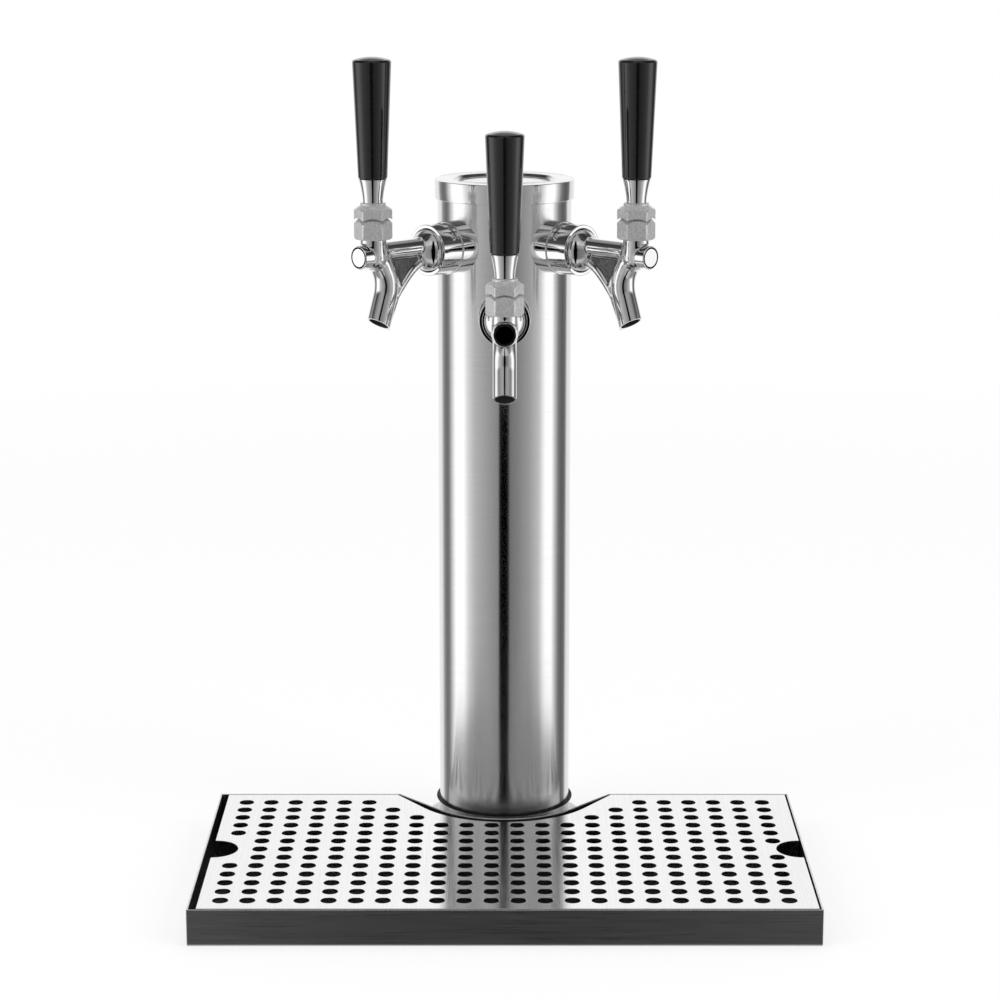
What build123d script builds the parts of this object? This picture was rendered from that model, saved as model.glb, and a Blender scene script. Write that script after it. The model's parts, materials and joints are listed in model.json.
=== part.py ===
from build123d import *
import math
import os

# Three-tap draft beer tower with a cut-out drip tray.
# Millimetres. The origin is on the column axis at counter level, +Z is up
# and the customer's side is -Y. A faucet is drawn once, pointing along -Y
# with its shank on the origin, and is then turned and lifted into place.

# Column and base
column_outer_r = 38.1
column_wall = 1.2
column_top = 383.0
base_collar_top = 16.0
trim_ring_height = 3.0
trim_ring_overhang = 1.9
trim_ring_chamfer = 0.8
gasket_thickness = 2.0
flange_overhang = 7.9
flange_thickness = 4.0
spigot_top = 40.0
spigot_wall = 3.8
line_hole_chamfer = 1.0
screw_circle_offset = 3.9
screw_hole_r = 2.25
screw_count = 4
insulation_wall = 5.0
insulation_drop = 27.0
foam_gap = 0.6
seam_gap = 0.1
edge_chamfer = 0.6

# Top cap
cap_gap = 0.3
cap_wall = 1.2
cap_skirt = 11.0
cap_plate = 1.5
cap_rim_width = 10.1
cap_dish_depth = 2.0
cap_dish_slope = 1.0
cap_spigot_gap = 1.3
cap_spigot_depth = 8.0

# Drip tray
pan_width = 336.0
pan_back_y = -5.0
pan_front_y = -197.0
pan_height = 20.5
pan_wall = 1.0
pan_bend_r = 1.6
pan_cutout_gap = 4.0
pan_mouth_flare = 11.5
grille_side_gap = 2.5
grille_shift_x = 1.5
grille_end_gap = 0.8
grille_sheet = 1.2
grille_cutout_gap = 5.0
grille_mouth_gap = 0.5
notch_r = 14.0
notch_from_front = 95.0
hole_r = 4.3
hole_sides = 8
column_pitch = 14.4
row_pitch = 13.5
hole_margin = 12.2
hole_edge_land = 1.4
mouth_depth = 25.0
mouth_land = 8.6

# Faucet places: the angle of the side faucets and how far shanks lie below the column's top
side_faucet_angle = 45.0
front_shank_drop = 71.0
side_shank_drop = 34.0

# Shank group, lengths along the shank axis
shank_r = 11.1
shank_inside = 13.9
shank_nose = 8.5
shank_bore_r = 3.2
shank_cavity_r = 8.8
shank_cavity_depth = 11.0
shank_cavity_cone = 3.0
thread_gap = 0.1
shank_flange_r = 14.9
shank_flange_thickness = 8.9
saddle_r = 14.2
saddle_thickness = 3.9
locknut_across = 26.0
locknut_thickness = 5.0
locknut_corner_cut = 0.4
locknut_chamfer = 1.1
coupling_nut_wall = 1.2
coupling_nut_length = 14.0
coupling_lip = 1.2
coupling_lip_gap = 0.5
coupling_shoulder_gap = 0.5
spanner_hole_r = 1.5
spanner_hole_depth = 1.6
spanner_holes = 6
coupling_washer_thickness = 1.5
stem_r = 3.97
stem_bore_r = 2.4
stem_offset = 5.0
stem_length = 26.0
stem_neck_r = 3.4
stem_neck_drop = 9.0
elbow_r = 7.5
elbow_chamfer = 1.5
elbow_behind_stem = 5.0
elbow_spigot_r = 5.4
elbow_spigot_length = 10.0

# Faucet body, heights from the shank axis
bell_flange_r = 12.9
bell_flange_thickness = 2.6
bell_step = 1.2
bell_land = 1.0
bell_shoulder_r = 9.1
bell_shoulder_setback = 2.6
bell_nose_r = 3.9
bell_length = 11.0
plunger_height = 2.6
arm_r = 4.9
arm_bore_r = 3.2
lever_reach = 44.0
chamber_r = 7.5
neck_r = 7.1
thread_relief = 0.6
body_thread_r = 8.0
body_thread_rise = 4.4
boss_r = 6.4
boss_reach = 11.0
boss_height = 0.6
boss_groove_r = 4.9
boss_groove_width = 0.6
boss_groove_depth = 0.6
spout_r = 6.6
spout_bore_r = 5.6
spout_bend_r = 12.0
brace_thickness = 5.0
brace_ridge = 1.8
brace_bend_ridge = 3.6
brace_curve_start = (-1, -0.12)
brace_root_depth = 8.2
brace_root_land = 3.0
web_thickness = 2.0
web_corner_r = 0.8

# Points of the spout's middle line and of the recess in the brace, each as
# the distance out from the lever's axis and the height from the shank's axis
spout_start = (-1.9, 2.1)
spout_bend = (-11.0, -14.5)
spout_tip = (-3.4, -37.0)
web_front = (-12.5, -1.0)
web_rear = (-35.5, -2.2)
web_foot = (-19.4, -15.5)

# Lever, its ball joint and what it moves
pivot_height = 11.0
ball_r = 5.6
ball_gap = 0.1
seat_bore_r = 4.2
lever_swing = 22.0
lever_neck_r = 2.2
lever_thread_r = 3.0
lever_thread_length = 27.4
tongue_end_r = 1.7
tongue_end_width = 2.4
tongue_thickness = 1.4
tongue_slot_gap = 0.25
tongue_side_gap = 0.3
swing_gap = 0.4
ball_washer_low = 2.4
collar_drop = 1.0
crown_r = 13.1
crown_gap = 0.9
hex_across = 18.6
hex_corner_cut = 0.34
hex_chamfer = 0.8
lever_nut_hex_rise = 15.6
lever_nut_bevel = 3.0
lever_nut_seat_width = 1.4
lever_nut_seat_land = 1.2
ferrule_bottom_r = 5.5
ferrule_top_r = 7.7
ferrule_length = 13.0
ferrule_foot = 1.5
ferrule_hollow = 0.25
ferrule_spigot_r = 4.0
ferrule_spigot_length = 20.0
handle_overhang = 0.25
handle_top_r = 10.6
handle_length = 65.5
handle_edge_r = 1.4
plunger_r = 2.4
plunger_block_length = 3.5
plunger_stem_r = 1.6
plunger_guide_gap = 0.15
plunger_nose_reach = 8.0
plunger_travel_gap = 0.6
valve_washer_gap = 0.4
valve_washer_thickness = 2.0
valve_screw_r = 3.4
valve_screw_thickness = 1.5

# How far a cut or a joining overlap runs past the face that it has to pass
run_past = 1.0

# Sizes that follow from the ones above
column_inner_r = column_outer_r - column_wall
column_bottom = base_collar_top + trim_ring_height
flange_r = column_outer_r + flange_overhang
flange_top = gasket_thickness + flange_thickness
spigot_r = column_inner_r - seam_gap
line_hole_r = spigot_r - spigot_wall
front_shank_height = column_top - front_shank_drop
side_shank_height = column_top - side_shank_drop
faucet_places = [
    ("front", 0, front_shank_height),
    ("left", -side_faucet_angle, side_shank_height),
    ("right", side_faucet_angle, side_shank_height),
]

pan_cutout_r = flange_r + pan_cutout_gap
pan_mouth_half = pan_cutout_r + pan_mouth_flare
grille_half = pan_width / 2 - pan_wall - grille_side_gap
grille_back_y = pan_back_y - pan_wall - grille_end_gap
grille_front_y = pan_front_y + pan_wall + grille_end_gap
grille_cutout_r = pan_cutout_r + pan_wall + grille_cutout_gap
grille_mouth_half = pan_mouth_half + pan_wall + grille_mouth_gap
notch_y = pan_front_y + notch_from_front

shank_hole_r = shank_r + thread_gap
shank_rear = column_inner_r - shank_inside
shank_flange_front = column_outer_r + shank_flange_thickness
shank_front = shank_flange_front + shank_nose
saddle_rear = column_inner_r - saddle_thickness
coupling_nut_front = shank_flange_front + coupling_nut_length
coupling_nut_r = bell_flange_r + thread_gap + coupling_nut_wall
stem_axis_out = shank_rear - stem_offset
bell_rear = shank_front + coupling_washer_thickness
bell_front = bell_rear + bell_length
bell_dome_r = bell_flange_r - bell_step

lever_axis_out = bell_rear + lever_reach
boss_front = lever_axis_out + boss_reach
plunger_nose = lever_axis_out + plunger_nose_reach
collar_bottom = pivot_height - collar_drop
body_thread_top = pivot_height + body_thread_rise
ball_clear_r = ball_r + ball_gap
seat_height = pivot_height - math.sqrt(ball_clear_r**2 - seat_bore_r**2)
swing = math.radians(lever_swing)
slot_half = tongue_end_r + tongue_slot_gap
block_front = lever_axis_out + slot_half + plunger_block_length
spout_points = [spout_start, spout_bend, spout_tip]
web_points = [web_front, web_rear, web_foot]
hex_corner_r = hex_across / 2 / math.cos(math.pi / 6) - hex_corner_cut
lever_nut_hex_top = pivot_height + lever_nut_hex_rise
lever_nut_top = lever_nut_hex_top + lever_nut_bevel
ferrule_top = lever_nut_top + ferrule_length
handle_bottom_r = ferrule_top_r + handle_overhang
valve_washer_r = shank_cavity_r - plunger_height - valve_washer_gap


def turned(*points):
    """Solid of revolution about Z from (radius, height) points."""
    outline = Polyline(*points, close=True)
    return revolve(Plane.XZ * make_face(outline), Axis.Z)


def ring(outer_r, inner_r, low, high):
    """Plain ring about Z between two heights."""
    return turned((inner_r, low), (outer_r, low), (outer_r, high), (inner_r, high))


def disc(radius, low, high):
    """Plain cylinder about Z between two heights."""
    return Pos(0, 0, (low + high) / 2) * Cylinder(radius, high - low)


def outward(shape, height=0):
    """Lay a shape that was drawn about Z along the faucet's outward direction."""
    return Pos(0, 0, height) * Rot(90, 0, 0) * shape


def at_lever(shape):
    """Move a shape that was drawn about Z onto the lever's upright axis."""
    return Pos(0, -lever_axis_out, 0) * shape


def hex_bar(across, low, high):
    """Hexagonal bar about Z between two heights."""
    outline = RegularPolygon(across / 2, 6, major_radius=False, rotation=30)
    return Pos(0, 0, low) * extrude(outline, high - low)


# Column and base

def round_screw_circle(shape):
    """Copies of a shape on the base's screw circle."""
    circle_r = column_outer_r + screw_circle_offset
    return PolarLocations(circle_r, screw_count, start_angle=180 / screw_count) * shape


def make_base_gasket():
    gasket = ring(flange_r, line_hole_r, 0, gasket_thickness)
    return gasket - round_screw_circle(disc(screw_hole_r, 0, gasket_thickness))


def make_base_flange():
    outline = [
        (line_hole_r, gasket_thickness),
        (flange_r, gasket_thickness),
        (flange_r, flange_top - edge_chamfer),
        (flange_r - edge_chamfer, flange_top),
        (column_outer_r, flange_top),
        (column_outer_r, base_collar_top),
        (spigot_r, base_collar_top),
        (spigot_r, spigot_top),
        (line_hole_r + line_hole_chamfer, spigot_top),
        (line_hole_r, spigot_top - line_hole_chamfer),
    ]
    return turned(*outline) - round_screw_circle(disc(screw_hole_r, 0, flange_top))


def make_trim_ring():
    """Black ring that closes the joint between base collar and column."""
    inner = spigot_r + seam_gap
    outer = column_outer_r + trim_ring_overhang
    return turned(
        (inner, base_collar_top),
        (outer - trim_ring_chamfer, base_collar_top),
        (outer, base_collar_top + trim_ring_chamfer),
        (outer, column_bottom - trim_ring_chamfer),
        (outer - trim_ring_chamfer, column_bottom),
        (inner, column_bottom),
    )


def make_column_tube():
    tube = ring(column_outer_r, column_inner_r, column_bottom, column_top)
    for _, angle, height in faucet_places:
        hole = outward(disc(shank_hole_r, 0, column_outer_r + run_past), height)
        tube -= Rot(0, 0, angle) * hole
    return tube


def make_top_cap():
    """Pressed cap: skirt outside the tube, dished top and a short inner spigot."""
    skirt_inner = column_outer_r + cap_gap
    skirt_outer = skirt_inner + cap_wall
    top = column_top + cap_plate
    spigot_outer = column_inner_r - cap_spigot_gap
    dish_r = skirt_outer - cap_rim_width
    outline = [
        (0, column_top - cap_dish_depth),
        (spigot_outer - cap_wall, column_top - cap_dish_depth),
        (spigot_outer - cap_wall, column_top - cap_spigot_depth),
        (spigot_outer, column_top - cap_spigot_depth),
        (spigot_outer, column_top),
        (skirt_inner, column_top),
        (skirt_inner, top - cap_skirt),
        (skirt_outer, top - cap_skirt),
        (skirt_outer, top - edge_chamfer),
        (skirt_outer - edge_chamfer, top),
        (dish_r, top),
        (dish_r - cap_dish_slope, top - cap_dish_depth),
        (0, top - cap_dish_depth),
    ]
    return turned(*outline)


def make_insulation_sleeve():
    outer = column_inner_r - foam_gap
    top = front_shank_height - insulation_drop
    return ring(outer, outer - insulation_wall, spigot_top, top)


# Drip tray

def tray_outline(half_width, shift_x, back_y, front_y, cutout_r, mouth_half):
    """Tray plan with a round cut-out that opens to the back by tangent sides."""
    body = Pos(shift_x, (back_y + front_y) / 2) * Rectangle(2 * half_width, back_y - front_y)
    mouth_angle = math.atan2(back_y, mouth_half)
    touch_angle = mouth_angle - math.acos(cutout_r / math.hypot(mouth_half, back_y))
    touch_x = cutout_r * math.cos(touch_angle)
    touch_y = cutout_r * math.sin(touch_angle)
    wedge = make_face(
        Polyline(
            (-mouth_half, back_y),
            (-touch_x, touch_y),
            (touch_x, touch_y),
            (mouth_half, back_y),
            (mouth_half, 0),
            (-mouth_half, 0),
            close=True,
        )
    )
    return body - wedge - Circle(cutout_r)


def make_drip_pan():
    half = pan_width / 2
    inner_half = half - pan_wall
    outside = tray_outline(half, 0, pan_back_y, pan_front_y, pan_cutout_r, pan_mouth_half)
    inside = tray_outline(
        inner_half,
        0,
        pan_back_y - pan_wall,
        pan_front_y + pan_wall,
        pan_cutout_r + pan_wall,
        pan_mouth_half + pan_wall,
    )
    shell = extrude(outside, pan_height)
    front_and_sides = shell.edges().group_by(Axis.Z)[0].filter_by(GeomType.LINE)
    long_edges = [edge for edge in front_and_sides if edge.length > pan_width / 2]
    shell = fillet(long_edges, pan_bend_r)
    return shell - Pos(0, 0, pan_wall) * extrude(inside, pan_height)


def drip_hole_places():
    """Grid of holes, less those that meet the column cut-out or the finger notches."""
    columns = int((2 * grille_half - 2 * hole_margin) / column_pitch) + 1
    rows = int((grille_back_y - grille_front_y - 2 * hole_margin) / row_pitch) + 1
    places = []
    for row in range(rows):
        y = grille_front_y + hole_margin + row * row_pitch
        for column in range(columns):
            x = (column - (columns - 1) / 2) * column_pitch
            clear_of_column = math.hypot(x, y) > grille_cutout_r + hole_r + hole_edge_land
            before_mouth = y < pan_back_y - mouth_depth
            beside_mouth = abs(x) > grille_mouth_half + mouth_land
            notch_x = grille_shift_x + math.copysign(grille_half, x)
            clear_of_notch = math.hypot(x - notch_x, y - notch_y) > notch_r + hole_r
            if clear_of_column and (before_mouth or beside_mouth) and clear_of_notch:
                places.append((x, y))
    return places


def make_drip_grille():
    """Punched sheet with folded-down edges that stand on the pan's floor."""
    width = 2 * grille_half
    depth = grille_back_y - grille_front_y
    middle_y = (grille_back_y + grille_front_y) / 2
    plan = tray_outline(
        grille_half,
        grille_shift_x,
        grille_back_y,
        grille_front_y,
        grille_cutout_r,
        grille_mouth_half,
    )
    sheet = Pos(0, 0, pan_height - grille_sheet) * extrude(plan, grille_sheet)
    rim = Rectangle(width, depth)
    rim -= Rectangle(width - 2 * grille_sheet, depth - 2 * grille_sheet)
    skirt = Pos(grille_shift_x, middle_y, pan_wall) * extrude(rim, pan_height - pan_wall)
    open_back = Pos(0, grille_back_y, pan_height / 2)
    open_back *= Box(2 * grille_mouth_half, 2 * (grille_sheet + run_past), 2 * pan_height)
    grille = sheet + (skirt - open_back)
    for side in (-1, 1):
        edge = Pos(grille_shift_x + side * grille_half, notch_y, pan_height / 2)
        grille -= edge * Cylinder(notch_r, 2 * pan_height)
    holes = Sketch() + [
        Pos(x, y) * RegularPolygon(hole_r, hole_sides, rotation=180 / hole_sides)
        for x, y in drip_hole_places()
    ]
    punch = extrude(holes, grille_sheet + 2 * run_past)
    return grille - Pos(0, 0, pan_height - grille_sheet - run_past) * punch


# Shank group

def make_shank():
    cavity_rear = shank_front - shank_cavity_depth
    spigot_front = shank_rear + elbow_spigot_length
    socket_r = elbow_spigot_r + seam_gap
    return outward(
        turned(
            (socket_r, shank_rear),
            (shank_r, shank_rear),
            (shank_r, shank_front),
            (shank_cavity_r, shank_front),
            (shank_cavity_r, cavity_rear),
            (shank_bore_r, cavity_rear - shank_cavity_cone),
            (shank_bore_r, spigot_front + seam_gap),
            (socket_r, spigot_front + seam_gap),
        )
    )


def make_shank_flange():
    """Escutcheon, cut at the back to the column's curve."""
    rear = math.sqrt(column_outer_r**2 - shank_flange_r**2) - run_past
    blank = outward(
        turned(
            (shank_hole_r, rear),
            (shank_flange_r, rear),
            (shank_flange_r, shank_flange_front - edge_chamfer),
            (shank_flange_r - edge_chamfer, shank_flange_front),
            (shank_hole_r, shank_flange_front),
        )
    )
    return blank - Cylinder(column_outer_r, 4 * shank_flange_r)


def make_inner_saddle():
    """Washer inside the column, flat for the nut and curved to the tube's wall."""
    blank = outward(ring(saddle_r, shank_hole_r, saddle_rear, column_inner_r))
    return blank & Cylinder(column_inner_r, 4 * saddle_r)


def make_shank_locknut():
    low = saddle_rear - locknut_thickness
    bar = hex_bar(locknut_across, low, saddle_rear)
    corner_r = locknut_across / 2 / math.cos(math.pi / 6) - locknut_corner_cut
    rounding = turned(
        (0, low),
        (corner_r - locknut_chamfer, low),
        (corner_r, low + locknut_chamfer),
        (corner_r, saddle_rear),
        (0, saddle_rear),
    )
    return outward((bar & rounding) - disc(shank_hole_r, low, saddle_rear))


def make_tail_elbow():
    """Elbow with a plain stem for a push-on beer line, pointing down, below a slim neck."""
    rear = stem_axis_out - elbow_behind_stem
    collar = outward(disc(elbow_r, rear, shank_rear))
    collar = chamfer(collar.edges().filter_by(GeomType.CIRCLE).sort_by(Axis.Y)[-1], elbow_chamfer)
    spigot = outward(disc(elbow_spigot_r, shank_rear, shank_rear + elbow_spigot_length))
    neck = Pos(0, -stem_axis_out, 0) * disc(stem_neck_r, -stem_neck_drop, 0)
    stem = Pos(0, -stem_axis_out, 0) * disc(stem_r, -stem_length, -stem_neck_drop)
    level_bore = outward(disc(stem_bore_r, stem_axis_out, shank_rear + elbow_spigot_length))
    stem_bore = Pos(0, -stem_axis_out, 0) * disc(stem_bore_r, -stem_length, stem_bore_r)
    return collar + spigot + neck + stem - level_bore - stem_bore


def make_coupling_washer():
    return outward(ring(shank_r, shank_cavity_r, shank_front, bell_rear))


def make_coupling_nut():
    """Nut that pulls the faucet's bell onto the shank, with spanner holes round it."""
    rear = shank_flange_front
    shoulder = bell_rear - coupling_shoulder_gap
    lip_rear = coupling_nut_front - coupling_lip
    bell_r = bell_flange_r + thread_gap
    nut = turned(
        (shank_hole_r, rear),
        (coupling_nut_r - edge_chamfer, rear),
        (coupling_nut_r, rear + edge_chamfer),
        (coupling_nut_r, coupling_nut_front - edge_chamfer),
        (coupling_nut_r - edge_chamfer, coupling_nut_front),
        (bell_dome_r + coupling_lip_gap, coupling_nut_front),
        (bell_dome_r + coupling_lip_gap, lip_rear),
        (bell_r, lip_rear),
        (bell_r, shoulder),
        (shank_hole_r, shoulder),
    )
    middle = (rear + bell_rear) / 2
    pin = Pos(coupling_nut_r, 0, middle) * Rot(0, 90, 0)
    pin *= Cylinder(spanner_hole_r, 2 * spanner_hole_depth)
    for turn in range(spanner_holes):
        nut -= Rot(0, 0, 360 / spanner_holes * (turn + 0.5)) * pin
    return outward(nut)


# Faucet body and its valve

def swing_hole_r(height):
    """Radius that the swinging lever neck needs at a height over its pivot."""
    return height * math.tan(swing) + lever_neck_r / math.cos(swing) + swing_gap


def make_bell():
    """Flange that the coupling nut holds, and the dome in front of it."""
    flange_front = bell_rear + bell_flange_thickness
    outline = Line((0, bell_rear), (bell_flange_r, bell_rear))
    outline += Line((bell_flange_r, bell_rear), (bell_flange_r, flange_front))
    outline += Line((bell_flange_r, flange_front), (bell_dome_r, flange_front))
    outline += Line((bell_dome_r, flange_front), (bell_dome_r, flange_front + bell_land))
    outline += ThreePointArc(
        (bell_dome_r, flange_front + bell_land),
        (bell_shoulder_r, bell_front - bell_shoulder_setback),
        (bell_nose_r, bell_front),
    )
    outline += Line((bell_nose_r, bell_front), (0, bell_front))
    outline += Line((0, bell_front), (0, bell_rear))
    return outward(revolve(Plane.XZ * make_face(outline), Axis.Z))


def make_chamber():
    """Upright chamber with its round bottom, neck and bonnet thread."""
    thread_bottom = collar_bottom - thread_relief
    outline = Line((0, body_thread_top), (body_thread_r, body_thread_top))
    outline += Line((body_thread_r, body_thread_top), (body_thread_r, thread_bottom))
    outline += Line((body_thread_r, thread_bottom), (neck_r, thread_bottom))
    outline += Line((neck_r, thread_bottom), (chamber_r, plunger_height))
    outline += Line((chamber_r, plunger_height), (chamber_r, 0))
    outline += CenterArc((0, 0), chamber_r, 270, 90)
    outline += Line((0, -chamber_r), (0, body_thread_top))
    return at_lever(revolve(Plane.XZ * make_face(outline), Axis.Z))


def make_boss():
    """Round boss at the chamber's front, with a turned groove in its face."""
    boss = turned(
        (0, lever_axis_out),
        (boss_r, lever_axis_out),
        (boss_r, boss_front - edge_chamfer),
        (boss_r - edge_chamfer, boss_front),
        (0, boss_front),
    )
    groove = ring(
        boss_groove_r + boss_groove_width / 2,
        boss_groove_r - boss_groove_width / 2,
        boss_front - boss_groove_depth,
        boss_front + run_past,
    )
    return outward(boss - groove, boss_height)


def in_side_plane(point):
    """Side-plane vector (towards the rear, up) of a point given from the lever's axis."""
    out, up = point
    return Vector(-lever_axis_out - out, up)


def swept_spout(radius):
    bends = [(0, point.X, point.Y) for point in map(in_side_plane, spout_points)]
    path = FilletPolyline(*bends, radius=spout_bend_r)
    start = Plane(origin=path @ 0, z_dir=path % 0)
    return sweep(start * Circle(radius), path=path)


def make_brace():
    """Cast brace from the bell to the spout's back, with a thin recessed web."""
    bend = in_side_plane(spout_bend)
    tip = in_side_plane(spout_tip)
    run = (tip - bend).normalized()
    behind = Vector(-run.Y, run.X)
    root_y = -(bell_rear + bell_flange_thickness + brace_root_land)
    heel = tip + behind * (spout_r + brace_ridge)
    inside_tip = tip + behind * (spout_r + spout_bore_r) / 2
    back = bend + run * spout_r + behind * (spout_r + brace_bend_ridge)
    outline = Polyline(
        (heel.X, heel.Y),
        (inside_tip.X, inside_tip.Y),
        (-lever_axis_out, plunger_height),
        (root_y, plunger_height),
        (root_y, -brace_root_depth),
    )
    outline += Spline(
        (root_y, -brace_root_depth),
        (back.X, back.Y),
        (heel.X, heel.Y),
        tangents=[brace_curve_start, (run.X, run.Y)],
    )
    plate = extrude(Plane.YZ * make_face(outline), brace_thickness / 2, both=True)
    corners = [(point.X, point.Y) for point in map(in_side_plane, web_points)]
    window = make_face(FilletPolyline(*corners, radius=web_corner_r, close=True))
    pocket = Plane.YZ * window
    for side in (-1, 1):
        floor = Pos(side * web_thickness / 2, 0, 0) * pocket
        plate -= extrude(floor, amount=side * brace_thickness, dir=(1, 0, 0))
    return plate


def make_faucet_body():
    body = make_bell() + make_chamber() + make_boss() + make_brace() + swept_spout(spout_r)
    body += outward(disc(arm_r, bell_front - bell_length / 2, lever_axis_out), plunger_height)
    body -= swept_spout(spout_bore_r)
    arm_bore_front = block_front + seam_gap
    body -= outward(disc(arm_bore_r, bell_rear - run_past, arm_bore_front), plunger_height)
    guide_r = plunger_stem_r + plunger_guide_gap
    body -= outward(disc(guide_r, arm_bore_front, plunger_nose), plunger_height)
    body -= at_lever(disc(seat_bore_r, plunger_height, seat_height + run_past))
    socket = Pos(0, 0, pivot_height) * Sphere(ball_clear_r)
    socket += disc(ball_clear_r, pivot_height, body_thread_top)
    return body - at_lever(socket)


def turn_to_customer(angle):
    """Turn of a lever's hexagons that leaves one of their flats facing the customer."""
    return 30 - angle


def make_bonnet_collar(turn):
    """Hexagonal bonnet with a spherical crown that the lever nut rides over."""
    opening_low = swing_hole_r(body_thread_top - pivot_height)
    crown = Pos(0, 0, pivot_height) * Sphere(crown_r)
    bar = hex_bar(hex_across, collar_bottom, pivot_height + crown_r)
    rounding = turned(
        (0, collar_bottom),
        (hex_corner_r - hex_chamfer, collar_bottom),
        (hex_corner_r, collar_bottom + hex_chamfer),
        (hex_corner_r, pivot_height + crown_r),
        (0, pivot_height + crown_r),
    )
    collar = bar & rounding & crown
    collar -= disc(body_thread_r + thread_gap, collar_bottom, body_thread_top)
    hole = turned(
        (0, body_thread_top - run_past),
        (opening_low, body_thread_top - run_past),
        (opening_low, body_thread_top),
        (swing_hole_r(crown_r), pivot_height + crown_r),
        (0, pivot_height + crown_r),
    )
    return at_lever(Rot(0, 0, turn) * (collar - hole))


def make_ball_washer():
    """Friction ring that holds the ball down in its socket."""
    outer = ball_clear_r - ball_gap / 2
    blank = turned(
        (swing_hole_r(ball_washer_low), ball_washer_low),
        (outer, ball_washer_low),
        (outer, body_thread_rise),
        (swing_hole_r(body_thread_rise), body_thread_rise),
    )
    return at_lever(Pos(0, 0, pivot_height) * (blank - Sphere(ball_clear_r)))


def make_lever():
    """Ball lever: tongue below, slim neck through the bonnet, threaded rod above."""
    nut_underside = pivot_height + crown_r + crown_gap
    rod = disc(lever_neck_r, pivot_height, nut_underside)
    rod += disc(lever_thread_r, nut_underside, lever_nut_top + lever_thread_length)
    ball = Pos(0, 0, pivot_height) * Sphere(ball_r)
    tongue_height = pivot_height - plunger_height
    blade = Pos(0, 0, plunger_height + tongue_height / 2)
    blade *= Box(tongue_end_width, tongue_thickness, tongue_height)
    end = Pos(0, 0, plunger_height) * Rot(0, 90, 0) * Cylinder(tongue_end_r, tongue_end_width)
    return at_lever(rod + ball + blade + end)


def make_lever_nut(turn):
    """Hexagonal nut on the lever, hollowed below to clear the bonnet's crown."""
    bar = hex_bar(hex_across, pivot_height, lever_nut_hex_top)
    rounding = turned(
        (0, pivot_height),
        (hex_corner_r, pivot_height),
        (hex_corner_r, lever_nut_hex_top - hex_chamfer),
        (hex_corner_r - hex_chamfer, lever_nut_hex_top),
        (0, lever_nut_hex_top),
    )
    seat_r = ferrule_bottom_r + lever_nut_seat_width
    bevel = turned(
        (0, lever_nut_hex_top),
        (hex_across / 2 - hex_chamfer, lever_nut_hex_top),
        (seat_r, lever_nut_top - lever_nut_seat_land),
        (seat_r, lever_nut_top),
        (0, lever_nut_top),
    )
    hollow = Pos(0, 0, pivot_height) * Sphere(crown_r + crown_gap)
    nut = (bar & rounding) + bevel - hollow
    nut -= disc(lever_thread_r + seam_gap, pivot_height, lever_nut_top)
    return at_lever(Rot(0, 0, turn) * nut)


def make_ferrule():
    """Flared metal ferrule with the spigot that is moulded into the handle."""
    spigot_top_height = ferrule_top + ferrule_spigot_length
    foot_top = lever_nut_top + ferrule_foot
    waist_r = (ferrule_bottom_r + ferrule_top_r) / 2 - ferrule_hollow
    outline = Line((0, lever_nut_top), (ferrule_bottom_r, lever_nut_top))
    outline += Line((ferrule_bottom_r, lever_nut_top), (ferrule_bottom_r, foot_top))
    outline += ThreePointArc(
        (ferrule_bottom_r, foot_top),
        (waist_r, (foot_top + ferrule_top) / 2),
        (ferrule_top_r, ferrule_top),
    )
    outline += Line((ferrule_top_r, ferrule_top), (ferrule_spigot_r, ferrule_top))
    outline += Line((ferrule_spigot_r, ferrule_top), (ferrule_spigot_r, spigot_top_height))
    outline += Line((ferrule_spigot_r, spigot_top_height), (0, spigot_top_height))
    outline += Line((0, spigot_top_height), (0, lever_nut_top))
    solid = revolve(Plane.XZ * make_face(outline), Axis.Z)
    thread_top = lever_nut_top + lever_thread_length + run_past
    thread = disc(lever_thread_r + seam_gap, lever_nut_top, thread_top)
    return at_lever(solid - thread)


def make_tap_handle():
    """Tapered handle with a rounded top edge and a socket for the ferrule."""
    top = ferrule_top + handle_length
    edge = top - handle_edge_r
    inset = handle_edge_r * (1 - math.sqrt(0.5))
    outline = Line((0, ferrule_top), (handle_bottom_r, ferrule_top))
    outline += Line((handle_bottom_r, ferrule_top), (handle_top_r, edge))
    outline += ThreePointArc(
        (handle_top_r, edge),
        (handle_top_r - inset, edge + handle_edge_r - inset),
        (handle_top_r - handle_edge_r, top),
    )
    outline += Line((handle_top_r - handle_edge_r, top), (0, top))
    outline += Line((0, top), (0, ferrule_top))
    solid = revolve(Plane.XZ * make_face(outline), Axis.Z)
    socket_top = ferrule_top + ferrule_spigot_length + seam_gap
    return at_lever(solid - disc(ferrule_spigot_r + seam_gap, ferrule_top, socket_top))


def make_plunger():
    """Valve rod with the slot for the lever's tongue and the head of its washer."""
    block_rear = lever_axis_out - slot_half - plunger_block_length
    washer_rear = bell_rear - valve_washer_thickness
    rod = disc(plunger_stem_r, washer_rear, plunger_nose - plunger_travel_gap)
    rod += disc(plunger_r, block_rear, block_front)
    rod += disc(valve_screw_r, washer_rear - valve_screw_thickness, washer_rear)
    slot = Pos(0, 0, lever_axis_out)
    slot *= Box(tongue_end_width + 2 * tongue_side_gap, 4 * plunger_r, 2 * slot_half)
    return outward(rod - slot, plunger_height)


def make_valve_washer():
    rear = bell_rear - valve_washer_thickness
    washer = ring(valve_washer_r, plunger_stem_r + seam_gap, rear, bell_rear)
    return outward(washer, plunger_height)


def place(shape, angle, height):
    """Turn a faucet piece round the column and lift it to its shank's height."""
    return Pos(0, 0, height) * Rot(0, 0, angle) * shape


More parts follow.
